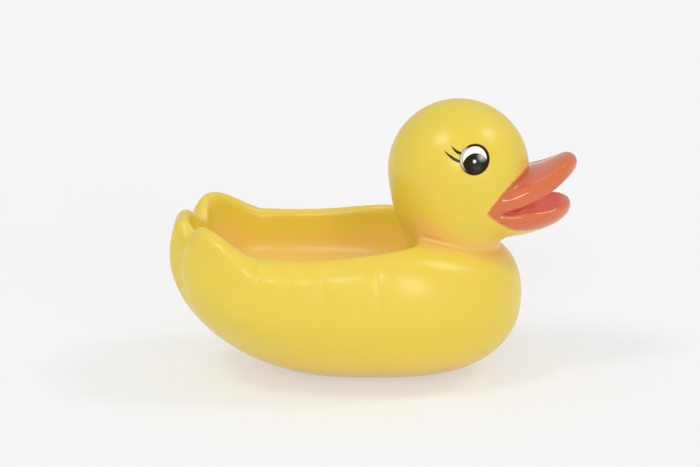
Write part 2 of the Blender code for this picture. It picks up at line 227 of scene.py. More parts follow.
def hull(x, y, z):
    """Distance to the outline at this height, with the brim and the foot cut off by smooth maxima."""
    chest = CHEST_ROOT + (CHEST_REACH - CHEST_ROOT) * swell(z, CHEST_LEVEL, CHEST_ABOVE, CHEST_POWER)
    bilge = STERN_BILGE_POWER + (BILGE_POWER - STERN_BILGE_POWER) * ease(x, *BILGE_TURN)
    tail = TAIL_ROOT + (TAIL_REACH - TAIL_ROOT) * swell(z, TAIL_LEVEL, TAIL_ABOVE, bilge)
    above = BEAM_ABOVE + (WING_ABOVE - BEAM_ABOVE) * ease(-x, *WING_TURN)
    half = BEAM_HALF * swell(z, BEAM_LEVEL, above, bilge)
    along = x - HULL_MIDDLE
    reach = np.where(along > 0, chest - HULL_MIDDLE, tail + HULL_MIDDLE)
    upper = ease(z, *UPPER_TURN)
    power = np.where(along > 0, PLAN_POWER, PLAN_POWER + (STERN_POWER - PLAN_POWER) * upper)
    side = plan_distance(along, y, reach, np.maximum(half, 1e-3), power)
    on_wing = ease(np.abs(y), *WING_STARTS)
    side = side + upper * (NOTCH_PULL * notch(x, y) + WING_PULL * (on_wing * ease(-x, *PETALS_GROW)))
    stern_edge = TAIL_ROUND + (WING_ROUND - TAIL_ROUND) * on_wing
    edge = BRIM_ROUND + (SHOULDER_ROUND - BRIM_ROUND) * ease(x, *SHOULDER_TURN)
    edge = edge + (stern_edge - BRIM_ROUND) * ease(-x, *STERN_TURN)
    body = smooth_max(side, z - brim(x, y), edge)
    return smooth_max(body, -z, FOOT_ROUND)


brim_heights = [float(brim(v, 0.0)) for v in (HULL_MIDDLE, -TAIL_REACH)]
print("brim amidships and at the tail, mm:", [round(v, 1) for v in brim_heights])

# %% [markdown]
# ## The basin
#
# The basin is a tub with a level floor, walls that lean out a little and a blunt front where the neck
# stands. Its corner at the floor is as round as a thumb, so that water wipes out of it. It is cut out of
# the hull with a smooth maximum, whose width rounds the inner edge of the brim.

# %% The basin's field
BASIN_FLOOR, BASIN_HALF, BASIN_DRAFT = 42.0, 43.5, 0.06
BASIN_MIDDLE, BASIN_FRONT, BASIN_REAR = -31.5, 22.5, 86.5
BASIN_FRONT_POWER, BASIN_REAR_POWER = 4.0, 2.4
FLOOR_ROUND = 12.0
BRIM_INNER_ROUND = 4.5


def basin(x, y, z):
    """Below zero in the tub, whose outline grows by the draft with height, over its level floor."""
    lean = BASIN_DRAFT * (z - BASIN_FLOOR)
    along = x - BASIN_MIDDLE
    ahead = along > 0
    reach = np.where(ahead, BASIN_FRONT - BASIN_MIDDLE, BASIN_REAR + BASIN_MIDDLE + lean)
    power = np.where(ahead, BASIN_FRONT_POWER, BASIN_REAR_POWER)
    wall = plan_distance(along, y, reach, BASIN_HALF + lean, power)
    wall = wall + NOTCH_PULL * notch(x, y) * ease(z, BASIN_FLOOR, TAIL_LEVEL)
    return smooth_max(wall, BASIN_FLOOR - z, FLOOR_ROUND)


print("depth of the basin, mm:", round(float(brim(BASIN_MIDDLE, 0.0)) - BASIN_FLOOR, 1))

# %% [markdown]
# ## The head
#
# The head is a ball with full cheeks under it, on an oval neck that goes down inside the hull. The ball
# and the cheeks melt into each other over a centimetre, while the neck meets the shoulders in a tight
# crease.

# %% The head's field
SKULL_MIDDLE, SKULL_RADII = (41.2, 0.0, 101.1), (34.0, 34.0, 34.0)
CHEEK_MIDDLE, CHEEK_RADII = (43.5, 0.0, 84.5), (31.0, 28.5, 19.5)
NECK_MIDDLE, NECK_REACH, NECK_HALF = 38.0, 21.5, 26.5
NECK_FOOT, NECK_TOP, NECK_ROUND = 30.0, 90.0, 6.0
HEAD_MELT, CREASE_ROUND = 9.0, 2.4


def head(x, y, z):
    """Smooth minimum of two ellipsoids and the upright column of the neck."""
    ball = ellipsoid(x, y, z, SKULL_MIDDLE, SKULL_RADII)
    cheeks = ellipsoid(x, y, z, CHEEK_MIDDLE, CHEEK_RADII)
    column = plan_distance(x - NECK_MIDDLE, y, NECK_REACH, NECK_HALF, 2.0)
    column = smooth_max(smooth_max(column, NECK_FOOT - z, NECK_ROUND), z - NECK_TOP, NECK_ROUND)
    return smooth_min(smooth_min(ball, cheeks, HEAD_MELT), column, HEAD_MELT)


print("top of the head, mm:", round(SKULL_MIDDLE[2] + SKULL_RADII[2], 1))

# %% [markdown]
# ## The bill
#
# The bill is two solid tongues. Both have half a superellipse as their outline from above, and the mouth
# is the wedge between them, which starts just in front of the mouth's corners. A field makes each from
# three surfaces, an outline, a top and an underside, joined by smooth maxima.
#
# The upper tongue has a domed back that falls to the lip. The lip stands upright, with a fine bead along
# its upper edge that catches the light, and the thick tip turns up.

# %% The upper bill's field
BILL_ROOT = 52.5
BILL_START, START_ROUND = 48.0, 2.0
UPPER_HALF, UPPER_POWER = 29.2, 1.75
GAPE_LEVEL, GAPE_RISE, GAPE_FROM = 86.2, 14.8, 60.0
LIP_TALL, LIP_TIP_EXTRA, LIP_GROWS = 7.0, 1.8, (84, 94)
RIDGE_LEVEL, RIDGE_TIP_RISE, RIDGE_RISES = 102.0, 7.4, (77, 96)
LIP_BEAD, BEAD_AT, BEAD_WIDTH, BEAD_STARTS = 0.8, 0.91, 0.09, (60, 72)
PALATE_ARCH, PALATE_FLATTENS = 3.0, (80, 98)
BACK_ROUND, BACK_TIP_ROUND, PALATE_ROUND, PALATE_TIP_ROUND = 2.2, 3.4, 1.2, 3.5
TIP_THICKENS = (84, 97)
SLANT = 0.9  # brings a difference in height nearer to the distance from a sloping surface


def gape(x):
    """Lower edge of the upper lip: level from the mouth's corner, then climbing as run^1.5 to the tip."""
    run = np.clip((x - GAPE_FROM) / (BILL_REACH - GAPE_FROM), 0, 1)
    return GAPE_LEVEL + GAPE_RISE * run**1.5


def lip_edge(x):
    """Upper edge of the upper lip, which is a little taller in the thick tip."""
    return gape(x) + LIP_TALL + LIP_TIP_EXTRA * ease(x, *LIP_GROWS)


def half_width(x, reach, half, power):
    """half (1 - run^p)^(1/p), the half superellipse seen from above."""
    run = np.clip((x - BILL_ROOT) / (reach - BILL_ROOT), 0, 0.995)
    return half * (1 - run**power) ** (1 / power)


def upper_bill(x, y, z):
    """Outline, back and underside, where the back is the arch lip + (ridge - lip)(1 - share^2)."""
    ahead = np.maximum(x - BILL_ROOT, 0)
    outline = plan_distance(ahead, y, BILL_REACH - BILL_ROOT, UPPER_HALF, UPPER_POWER)
    share = np.clip(np.abs(y) / half_width(x, BILL_REACH, UPPER_HALF, UPPER_POWER), 0, 1)
    ridge = RIDGE_LEVEL + RIDGE_TIP_RISE * ease(x, *RIDGE_RISES)
    back = lip_edge(x) + np.maximum(ridge - lip_edge(x), 0) * (1 - share**2)
    back = back + LIP_BEAD * bell(share, BEAD_AT, BEAD_WIDTH) * ease(x, *BEAD_STARTS)
    palate = gape(x) + PALATE_ARCH * (1 - share**2) * (1 - ease(x, *PALATE_FLATTENS))
    tip = ease(x, *TIP_THICKENS)
    body = smooth_max(outline, SLANT * (z - back), BACK_ROUND + BACK_TIP_ROUND * tip)
    body = smooth_max(body, SLANT * (palate - z), PALATE_ROUND + PALATE_TIP_ROUND * tip)
    return smooth_max(body, BILL_START - x, START_ROUND)


gape_heights = [float(gape(v)) for v in (GAPE_FROM, BILL_REACH)]
print("upper lip's lower edge at the corner and the tip, mm:", [round(v, 1) for v in gape_heights])

# %% [markdown]
# The lower tongue is a spoon: the lower half of an ellipsoid, under a rim with two soft beads that stands
# round a scoop.

# %% The lower bill's field
LOWER_HALF, LOWER_POWER, LOWER_REACH = 28.8, 2.35, 95.6
LOWER_MIDDLE, LOWER_RADII = (51.5, 0.0, 84.5), (44.2, 28.8, 16.4)
RIM_DIP, RIM_DIPS, RIM_LIFT, RIM_LIFTS = 1.2, (56, 68), 1.9, (82, 94)
RIM_BEAD, OUTER_AT, OUTER_WIDTH, INNER_AT, INNER_WIDTH = 1.0, 0.90, 0.07, 0.60, 0.08
RIM_BEAD_STARTS = (58, 68)
SCOOP_STEP, SCOOP_EDGE, SCOOP_DISH = 5.5, (0.12, 0.60), 6.5
OUTLINE_ROUND, RIM_ROUND = 1.0, 2.6


def lower_share(x, y):
    """0 at the root of the tongue and 1 on the outline of the lower bill: (run^p + |y/half|^p)^(1/p)."""
    run = np.maximum(x - BILL_ROOT, 0) / (LOWER_REACH - BILL_ROOT)
    return (run**LOWER_POWER + np.abs(y / LOWER_HALF) ** LOWER_POWER) ** (1 / LOWER_POWER)


def lower_bill(x, y, z):
    """The ellipsoid and the outline, under a top whose height is rim + beads - scoop."""
    keel = ellipsoid(x, y, z, LOWER_MIDDLE, LOWER_RADII)
    ahead = np.maximum(x - BILL_ROOT, 0)
    outline = plan_distance(ahead, y, LOWER_REACH - BILL_ROOT, LOWER_HALF, LOWER_POWER)
    share = lower_share(x, y)
    rim = GAPE_LEVEL - RIM_DIP * ease(x, *RIM_DIPS) + RIM_LIFT * ease(x, *RIM_LIFTS)
    beads = bell(share, OUTER_AT, OUTER_WIDTH) + bell(share, INNER_AT, INNER_WIDTH)
    bead = RIM_BEAD * beads * ease(x, *RIM_BEAD_STARTS)
    scoop = SCOOP_STEP * (1 - ease(share, *SCOOP_EDGE)) + SCOOP_DISH * (1 - share)
    body = smooth_max(smooth_max(keel, outline, OUTLINE_ROUND), z - (rim + bead - scoop), RIM_ROUND)
    return smooth_max(body, BILL_START - x, START_ROUND)


print("lower bill, mm long and wide:", round(LOWER_REACH - BILL_ROOT, 1), 2 * LOWER_HALF)

# %% [markdown]
# ## The feathers
#
# The mould has five shallow grooves in each side, four upright and one along the tail, which part the wing
# into long feathers. They are so soft that they show only where light grazes them. Each is a curve
# through a few points of the side view. Its distance gives a fine groove with a wide, shallow valley
# round it, so that the feathers look filled. They are added after the mesh exists, when its points move
# onto the final surface.

# %% The feathers' grooves, as points (x, z)
GROOVES = (
    ((2.0, 68.7), (2.4, 58.2), (3.2, 51.5), (3.9, 42.9),
     (3.0, 37.2), (-0.3, 31.0), (-5.0, 24.5), (-10.6, 19.5)),
    ((-25.7, 68.7), (-23.8, 59.1), (-22.4, 48.6), (-20.2, 42.9),
     (-19.0, 37.2), (-16.6, 30.9), (-12.7, 25.2)),
    ((-37.4, 68.7), (-39.8, 59.1), (-39.7, 53.4), (-37.7, 47.7),
     (-36.9, 42.9), (-34.5, 36.2), (-29.8, 28.6), (-25.2, 18.0)),
    ((-53.4, 68.7), (-54.6, 56.3), (-54.2, 49.6), (-53.2, 42.9),
     (-49.1, 36.2), (-46.2, 31.4), (-44.5, 25.7), (-40.5, 19.0)),
    ((-75.2, 62.5), (-71.2, 59.0), (-67.3, 56.6), (-60.7, 54.7), (-54.6, 53.9)),
)
GROOVE_DEPTH, GROOVE_WIDTH = 0.22, 1.3
VALLEY_DEPTH, VALLEY_WIDTH = 0.5, 4.5
CURVE_POINTS = 15
SIDE_STARTS, BRIM_NEARS, BASIN_NEARS = (26, 36), (62, 70), (5, 9)


def smooth_curve(points, count):
    """Points along a curve through the given ones.

    Each coordinate is a cubic of the distance along the chords, which at both ends of a chord takes the
    place and the slope of the given point.
    """
    points = np.array(points, float)
    along = np.append(0, np.cumsum(np.linalg.norm(np.diff(points, axis=0), axis=1)))
    slopes = np.gradient(points, along, axis=0)
    at = np.linspace(0, along[-1], count)
    left = np.clip(np.searchsorted(along, at, side="right") - 1, 0, len(along) - 2)
    span = (along[left + 1] - along[left])[:, None]
    t = (at - along[left])[:, None] / span
    start, end = points[left], points[left + 1]
    leaving, arriving = slopes[left] * span, slopes[left + 1] * span
    near_start = (1 + 2 * t) * (1 - t) ** 2 * start + t * (1 - t) ** 2 * leaving
    return near_start + t**2 * (3 - 2 * t) * end - t**2 * (1 - t) * arriving


def distance_to_curve(x, z, curve):
    """Distance in the (x, z) plane to the nearest of the straight pieces between the curve's points."""
    nearest = np.full(np.broadcast(x, z).shape, 1e9)
    for (ax, az), (bx, bz) in zip(curve, curve[1:]):
        across, up = bx - ax, bz - az
        t = np.clip(((x - ax) * across + (z - az) * up) / (across**2 + up**2), 0, 1)
        nearest = np.minimum(nearest, np.hypot(x - ax - t * across, z - az - t * up))
    return nearest


groove_curves = [smooth_curve(points, CURVE_POINTS) for points in GROOVES]
lengths = [np.linalg.norm(np.diff(curve, axis=0), axis=1).sum() for curve in groove_curves]
print("length of the grooves, mm:", [round(float(length)) for length in lengths])

# %% [markdown]
# ## The whole shell
#
# The real shell is one skin, so its parts are joined here with the fillets that its mould has. The seat
# of the plug is a round step in the flat of the base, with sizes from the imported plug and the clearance
# of its hole.

# %% The whole shell's field
plug_low, plug_high = (np.array(corner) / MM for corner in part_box("squeaker"))
PLUG_AT = (plug_low[0] + plug_high[0]) / 2
PLUG_RADIUS = (plug_high[0] - plug_low[0]) / 2
PLUG_FACE = plug_low[2]
FLANGE_THICK, SEAT_GAP, SEAT_ROUND = 1.2, 0.3, 0.9
UPPER_FILLET, LOWER_FILLET = 2.0, 1.6


def shell(x, y, z):
    """Hull less basin, joined to the head with a tight crease and to the bill with small fillets."""
    bowl = smooth_max(hull(x, y, z), -basin(x, y, z), BRIM_INNER_ROUND)
    body = smooth_min(bowl, head(x, y, z), CREASE_ROUND)
    body = smooth_min(body, upper_bill(x, y, z), UPPER_FILLET)
    return smooth_min(body, lower_bill(x, y, z), LOWER_FILLET)


def seat(x, y, z):
    """Below zero in the round step that the plug's flange lies in."""
    round_wall = np.hypot(x - PLUG_AT, y) - (PLUG_RADIUS + SEAT_GAP)
    return np.maximum(round_wall, z - (PLUG_FACE + FLANGE_THICK + SEAT_GAP))


def feathers(x, y, z):
    """How far the side is let in: bells of the distance to each groove, faded out at brim and keel."""
    fine, wide = np.zeros_like(x), np.zeros_like(x)
    for curve in groove_curves:
        away = distance_to_curve(x, z, curve)
        fine = np.maximum(fine, bell(away, 0, GROOVE_WIDTH))
        wide = np.maximum(wide, bell(away, 0, VALLEY_WIDTH))
    on_side = ease(np.abs(y), *SIDE_STARTS) * (1 - ease(z, *BRIM_NEARS))
    return (GROOVE_DEPTH * fine + VALLEY_DEPTH * wide) * on_side


def skin_field(x, y, z):
    """The shell with the feathers let into its outside and the plug's seat cut out of its base."""
    outside = ease(basin(x, y, z), *BASIN_NEARS)
    body = shell(x, y, z) + feathers(x, y, z) * outside
    return smooth_max(body, -seat(x, y, z), SEAT_ROUND)


print("field at the crown, mm:", round(float(shell(SKULL_MIDDLE[0], 0.0, CROWN)), 2))

# %% [markdown]
# ## From field to mesh
#
# Surface nets turn the field into a mesh of quads: in each cell of a grid that the surface crosses goes
# one point, at the mean of the crossings on the cell's edges, and each crossed grid edge gives one quad
# between the four cells round it. Then Newton's step p - f grad f / |grad f|^2 puts every point onto the
# surface, and a pull towards its neighbours evens the spacing. The grid is finer where the bill and the
# face are. Only the half with y >= 0 is sampled, because the duck is symmetrical.

# %% Surface nets
CELL = 1.0
MARGIN = 3.0


def grid_lines(spans):
    """Grid lines through spans of (start, end, step), with the steps adjusted to fit."""
    parts = []
    for start, end, step in spans:
        parts.append(np.linspace(start, end, max(round((end - start) / step), 1), endpoint=False))
    return np.append(np.concatenate(parts), spans[-1][1])


def surface_nets(field, xs, ys, zs):
    """Points and quads of the zero surface of field, sampled at all xs, ys and zs."""
    inside = field < 0
    cells = tuple(n - 1 for n in field.shape)
    corners = np.array([(i, j, k) for i in (0, 1) for j in (0, 1) for k in (0, 1)])
    count = np.zeros(cells, np.int8)
    for i, j, k in corners:
        count += inside[i:cells[0] + i, j:cells[1] + j, k:cells[2] + k]
    where = np.stack(np.nonzero((count > 0) & (count < 8)), 1)
    number = np.full(cells, -1, np.int32)
    number[tuple(where.T)] = np.arange(len(where))
    values = np.stack([field[tuple((where + corner).T)] for corner in corners], 1)
    total = np.zeros((len(where), 3))
    hits = np.zeros((len(where), 1))
    for p in range(8):
        for q in range(p + 1, 8):
            if np.abs(corners[p] - corners[q]).sum() != 1:
                continue
            a, b = values[:, p], values[:, q]
            crossed = ((a < 0) != (b < 0))[:, None]
            share = np.where(crossed[:, 0], a / np.where(crossed[:, 0], a - b, 1), 0)[:, None]
            total += np.where(crossed, corners[p] + share * (corners[q] - corners[p]), 0)
            hits += crossed
    place = where + total / hits
    lines = enumerate((xs, ys, zs))
    points = np.stack([np.interp(place[:, n], np.arange(len(line)), line) for n, line in lines], 1)
    quads = []
    for axis in range(3):
        near = [slice(1, -1)] * 3
        far = [slice(1, -1)] * 3
        near[axis], far[axis] = slice(0, -1), slice(1, None)
        start, end = inside[tuple(near)], inside[tuple(far)]
        edge = np.stack(np.nonzero(start != end), 1)
        leaving = start[tuple(edge.T)]
        edge = edge + 1
        edge[:, axis] -= 1
        step_u, step_v = np.zeros(3, int), np.zeros(3, int)
        step_u[(axis + 1) % 3] = step_v[(axis + 2) % 3] = 1
        ring = (edge - step_u - step_v, edge - step_v, edge, edge - step_u)
        quad = np.stack([number[tuple(cell.T)] for cell in ring], 1)
        quad[~leaving] = quad[~leaving][:, ::-1]
        quads.append(quad)
    return points, np.concatenate(quads)


print("cell of the grid, mm:", CELL)

# %% Newton's step and the pull towards neighbours


def gradient(field, points, step=0.04):
    """Central differences (f(p + h) - f(p - h)) / 2h along each axis."""
    slopes = []
    for axis in np.eye(3) * step:
        slopes.append((field(*(points + axis).T) - field(*(points - axis).T)) / (2 * step))
    return np.stack(slopes, 1)


def project(field, points, rounds, longest=0.8):
    """Newton's step towards the zero surface, a few times, and never longer than the given length."""
    for _ in range(rounds):
        slope = gradient(field, points)
        move = field(*points.T)[:, None] * slope / np.maximum((slope**2).sum(1), 1e-6)[:, None]
        size = np.linalg.norm(move, axis=1, keepdims=True)
        points = points - move * np.minimum(1, longest / np.maximum(size, 1e-9))
    return points


def relax(points, quads, share=0.5):
    """Moves each point a share of the way to the mean of the points that its quads' edges join it to."""
    total = np.zeros_like(points)
    count = np.zeros(len(points))
    for a, b in ((0, 1), (1, 2), (2, 3), (3, 0)):
        for start, end in ((quads[:, a], quads[:, b]), (quads[:, b], quads[:, a])):
            for axis in range(3):
                total[:, axis] += np.bincount(start, points[end, axis], len(points))
            count += np.bincount(start, minlength=len(points))
    return points + share * (total / count[:, None] - points)


crown = np.array([(SKULL_MIDDLE[0], 0.0, CROWN)])
print("slope of the field at the crown:", gradient(shell, crown)[0].round(2))

# %% Sample the field and make the skin's points
FACE_X, FACE_Y, FACE_Z, BASE_Z = 48, 32, 66, 3
BODY_STEPS, FACE_STEPS = (1.05, 1.4, 1.1), (0.75, 1.15, 0.8)  # along x, y and z, in cells
BASE_STEP = 0.6
body_step, face_step = (CELL * np.array(steps) for steps in (BODY_STEPS, FACE_STEPS))
xs = grid_lines([(low[0] - MARGIN, FACE_X, body_step[0]), (FACE_X, high[0] + MARGIN, face_step[0])])
half_ys = grid_lines([(0, FACE_Y, face_step[1]), (FACE_Y, high[1] + MARGIN, body_step[1])])
zs = grid_lines([
    (-MARGIN, BASE_Z, BASE_STEP), (BASE_Z, FACE_Z, body_step[2]), (FACE_Z, high[2] + MARGIN, face_step[2]),
])
x, y, z = xs[:, None, None], half_ys[None, :, None], zs[None, None, :]
half_field = np.maximum(shell(x, y, z), -seat(x, y, z)).astype(np.float32)
samples = np.concatenate([half_field[:, :0:-1], half_field], axis=1)
ys = np.concatenate([-half_ys[:0:-1], half_ys])
points, quads = surface_nets(samples, xs, ys, zs)
EVENING_ROUNDS, LAST_ROUNDS = 3, 3
for _ in range(EVENING_ROUNDS):
    points = relax(project(skin_field, points, 1), quads)
points = project(skin_field, points, LAST_ROUNDS)
print("skin:", len(points), "points,", len(quads), "quads")
print("skin's box, mm:", points.min(0).round(2), points.max(0).round(2))

# %% [markdown]
# ## The mesh and what it knows of its shape
#
# The normals come from the field's own slope, which keeps the highlights as smooth as the real moulding.
# Three numbers are stored on the points, because they follow the shape, and the finish reads them.
#
# "paint" is how far inside the edge of the sprayed bill a point lies. A mask that stands across the face
# cuts that edge, so from the side it is one shallow bow up to the forehead and another down to the chin.
#
# "hidden" is how much of the sky is shut off, from the field sampled at growing distances along the
# normal. In the basin it is never less than a set share, because the light there comes from other yellow
# walls. From it the finish lays on painted shade and a painted glow. "inner_mouth" is 1 on the palate and
# in the scoop, where the colour is pinker, the surface matt and a painted glow lifts the shade.

# %% Put points and quads into a mesh


def mesh_from(name, points, quads, normals=None):
    """A smooth-shaded mesh in metres from whole arrays of points in millimetres and of quads."""
    data = bpy.data.meshes.new(name)
    data.vertices.add(len(points))
    data.vertices.foreach_set("co", (points * MM).astype(np.float32).ravel())
    data.loops.add(quads.size)
    data.loops.foreach_set("vertex_index", quads.astype(np.int32).ravel())
    data.polygons.add(len(quads))
    data.polygons.foreach_set("loop_start", np.arange(0, quads.size, 4, dtype=np.int32))
    data.update(calc_edges=True)
    data.validate()
    data.shade_smooth()
    if normals is not None:
        data.normals_split_custom_set_from_vertices(normals)
    item = bpy.data.objects.new(name, data)
    bpy.context.scene.collection.objects.link(item)
    return item


def add_attribute(item, name, values):
    """One number for each point, under a name that an Attribute node can read."""
    attribute = item.data.attributes.new(name, "FLOAT", "POINT")
    attribute.data.foreach_set("value", values.astype(np.float32))


# %% What the skin knows of its shape
PAINT, HIDDEN, INNER_MOUTH = "paint", "hidden", "inner_mouth"
CORNER_X, CORNER_Z = 53.8, 86.7
PAINT_CLIMB, CLIMB_BOW, CLIMB_ENDS = 1.45, 0.028, 22
PAINT_FALL, FALL_BOW, FALL_ENDS = 1.08, 0.026, 20
PAINT_BACK = -10  # how far behind the corner the bows are followed
PAINT_SLANT = 0.66  # brings a height beside a slanting edge to the distance from it
PROBES = ((2.0, 0.6), (5.0, 1.0), (11.0, 1.0), (22.0, 0.9))  # distance along the normal, and its weight
GROUND = -9.0  # a level under the base that shuts off the light from below
PALATE_EDGE, SCOOP_RIM = (3, 5), (0.82, 0.97)
UPWARD, OVER_RIM, OVER_KEEL, AHEAD_OF_CORNER = (-0.3, 0.2), (85, 87), (70, 72), (56, 62)
BASIN_SHADE, BASIN_NEAR, UNDER_BRIM = 0.30, (0.6, 2.5), (3, 18)


def paint_edge(x, z):
    """Above 0, in mm, between two bows that part at the mouth's corner.

    One climbs and one falls as a run - b run^2, where the run is counted forwards from the corner.
    """
    run = x - CORNER_X
    bent = np.clip(run, PAINT_BACK, CLIMB_ENDS)
    beyond = np.maximum(run - CLIMB_ENDS, 0)
    above = CORNER_Z + PAINT_CLIMB * bent - CLIMB_BOW * bent**2 + beyond - z
    bent = np.clip(run, PAINT_BACK, FALL_ENDS)
    below = z - (CORNER_Z - PAINT_FALL * bent + FALL_BOW * bent**2)
    return np.minimum(above, below) * PAINT_SLANT


def hidden_share(points, normals):
    """Mean of 1 - (f(p + d n) - f(p))/d over the probes: 0 in the open and near 1 deep in a fold."""
    total = np.zeros(len(points))
    start = shell(*points.T)
    for distance, weight in PROBES:
        x, y, z = (points + normals * distance).T
        clear = np.minimum(shell(x, y, z) - start, z - GROUND)
        total += weight * np.clip((distance - clear) / distance, 0, 1)
    return total / sum(weight for _, weight in PROBES)


def mouth_share(points, normals):
    """1 inside the lower lip, under the palate's top and over the keel, where the skin faces the mouth."""
    x, y, z = points.T
    faces_mouth = np.maximum(ease(normals[:, 2], *UPWARD), ease(z, *OVER_RIM))
    between = faces_mouth * (1 - ease(z - gape(x), *PALATE_EDGE)) * ease(z, *OVER_KEEL)
    return (1 - ease(lower_share(x, y), *SCOOP_RIM)) * between * ease(x, *AHEAD_OF_CORNER)


def basin_share(points):
    """1 near the basin's walls and floor, and less towards the brim."""
    x, y, z = points.T
    return (1 - ease(np.abs(basin(x, y, z)), *BASIN_NEAR)) * ease(brim(x, y) - z, *UNDER_BRIM)


slope = gradient(skin_field, points)
normals = slope / np.linalg.norm(slope, axis=1, keepdims=True)
skin = mesh_from("duck_skin", points, quads, normals)
hidden = np.maximum(hidden_share(points, normals), BASIN_SHADE * basin_share(points))
add_attribute(skin, PAINT, paint_edge(points[:, 0], points[:, 2]))
add_attribute(skin, HIDDEN, hidden)
add_attribute(skin, INNER_MOUTH, mouth_share(points, normals))
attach(skin, "root")
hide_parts("duck_shell")
print("hidden share, lowest, middle and highest:", np.percentile(hidden, [0, 50, 100]).round(2))

# %% [markdown]
# ## Helpers for the finishes
#
# Each finish is a node group that gives only colours and numbers, and the material joins them to its
# shader. The helpers add one node each. A number or a colour given to them is set on the socket, and
# another node's output is joined to it.

# %% Node helpers


def srgb(red, green, blue):
    """Linear values of a colour given in steps of 0 to 255: ((c + 0.055)/1.055)^2.4 above 0.04045."""
    share = np.array([red, green, blue]) / 255
    return (*np.where(share > 0.04045, ((share + 0.055) / 1.055) ** 2.4, share / 12.92), 1.0)


def feed(tree, socket, value):
    """Joins an output to the socket, or sets the socket to a number or a colour."""
    if isinstance(value, bpy.types.NodeSocket):
        tree.links.new(value, socket)
    else:
        socket.default_value = value


def maths(tree, operation, *values):
    """One Math node, whose inputs take the values in turn."""
    node = tree.nodes.new("ShaderNodeMath")
    node.operation = operation
    for socket, value in zip(node.inputs, values):
        feed(tree, socket, value)
    return node.outputs[0]


def soft_step(tree, value, start, end):
    """0 at start and 1 at end, with 3t^2 - 2t^3 between."""
    node = tree.nodes.new("ShaderNodeMapRange")
    node.interpolation_type = "SMOOTHSTEP"
    feed(tree, node.inputs["Value"], value)
    node.inputs["From Min"].default_value = start
    node.inputs["From Max"].default_value = end
    return node.outputs["Result"]


def blend(tree, share, first, second):
    """The colour first (1 - share) + second share."""
    node = tree.nodes.new("ShaderNodeMix")
    node.data_type = "RGBA"
    feed(tree, node.inputs[0], share)
    feed(tree, node.inputs[6], first)
    feed(tree, node.inputs[7], second)
    return node.outputs[2]


def noise(tree, place, scale, detail=2.0):
    """Cloudy noise round 0.5, in patches of about 1/scale metres."""
    node = tree.nodes.new("ShaderNodeTexNoise")
    node.inputs["Scale"].default_value = scale
    node.inputs["Detail"].default_value = detail
    tree.links.new(place, node.inputs["Vector"])
    return node.outputs["Fac"]


def new_group(name, inputs, outputs):
    """A group with float inputs, its sockets by name, and its output node's inputs by name."""
    tree = bpy.data.node_groups.new(name, "ShaderNodeTree")
    for label in inputs:
        tree.interface.new_socket(label, in_out="INPUT", socket_type="NodeSocketFloat")
    for label, kind in outputs:
        tree.interface.new_socket(label, in_out="OUTPUT", socket_type=kind)
    start = tree.nodes.new("NodeGroupInput")
    end = tree.nodes.new("NodeGroupOutput")
    return tree, start.outputs, end.inputs


def attribute(tree, name):
    """The number that the mesh's points hold under this name."""
    node = tree.nodes.new("ShaderNodeAttribute")
    node.attribute_name = name
    return node.outputs["Fac"]


def finish_with(name, group, inputs, outputs, **settings):
    """A material whose shader takes the named outputs of a group, and plain settings for the rest."""
    material = bpy.data.materials.new(name)
    material.use_nodes = True
    tree = material.node_tree
    shader = tree.nodes["Principled BSDF"]
    node = tree.nodes.new("ShaderNodeGroup")
    node.node_tree = group
    for label, source in inputs.items():
        tree.links.new(attribute(tree, source), node.inputs[label])
    for label in outputs:
        tree.links.new(node.outputs[label], shader.inputs[label])
    for label, value in settings.items():
        shader.inputs[label.replace("_", " ")].default_value = value
    return material, node, shader


print("a grey of 128 in linear light:", round(float(srgb(128, 128, 128)[0]), 3))

# %% [markdown]
# ## Soft vinyl and sprayed paint
#
# The vinyl is dyed through a clear yellow. Where it is hidden from the light, in the folds, under the chin,
# low on the hull and in the basin, amber and then a deep orange are laid on as painted shade. The vinyl is
# a satin moulding, so highlights are broad, and a faint cloudiness breaks them up. The bill's paint is a
# harder orange with a thin gloss over it, its edge is dusted by overspray over about a millimetre, and it
# turns deeper in hidden places, which is painted shade too. In the mouth the colour is pinker and the
# surface matt.
#
# Subsurface scattering softens the light under the surface. On top of it a weak emission in the hidden
# places of the vinyl and in the mouth is painted light: it lifts them, so the folds are never dark.

# %% The vinyl's colours
# The amber and the orange are painted shade for the hidden places of the vinyl.
YELLOW, PAINTED_SHADE_AMBER, PAINTED_SHADE_ORANGE = srgb(232, 206, 72), srgb(230, 189, 92), srgb(222, 140, 84)
# The bill's deeper orange is painted shade for its hidden places.
BILL, BILL_PAINTED_SHADE, MOUTH = srgb(214, 110, 58), srgb(212, 101, 62), srgb(208, 112, 96)
SHADE_TURNS_AMBER, SHADE_TURNS_ORANGE, BILL_SHADE_TURNS = (0.06, 0.42), (0.6, 1.1), (0.2, 0.65)
CLOUD_SCALE, GRAIN_SCALE = 34.0, 900.0
CLOUD_IN_COLOUR, CLOUD_IN_GLOSS = 0.16, 0.12
OVERSPRAY, SPRAY_GRAIN = 0.7, 1.2
VINYL_ROUGH, PAINT_ROUGH, MOUTH_ROUGH = 0.32, 0.15, 0.6
GLOSS_OVER_PAINT = 0.3
# The glow colour and its shares are painted light that lifts the hidden vinyl and the mouth.
BLACK, PAINTED_GLOW = (0.0, 0.0, 0.0, 1.0), srgb(232, 204, 128)
PAINTED_GLOW_VINYL, PAINTED_GLOW_MOUTH, PAINTED_GLOW_STARTS = 0.10, 0.30, (0.05, 0.45)

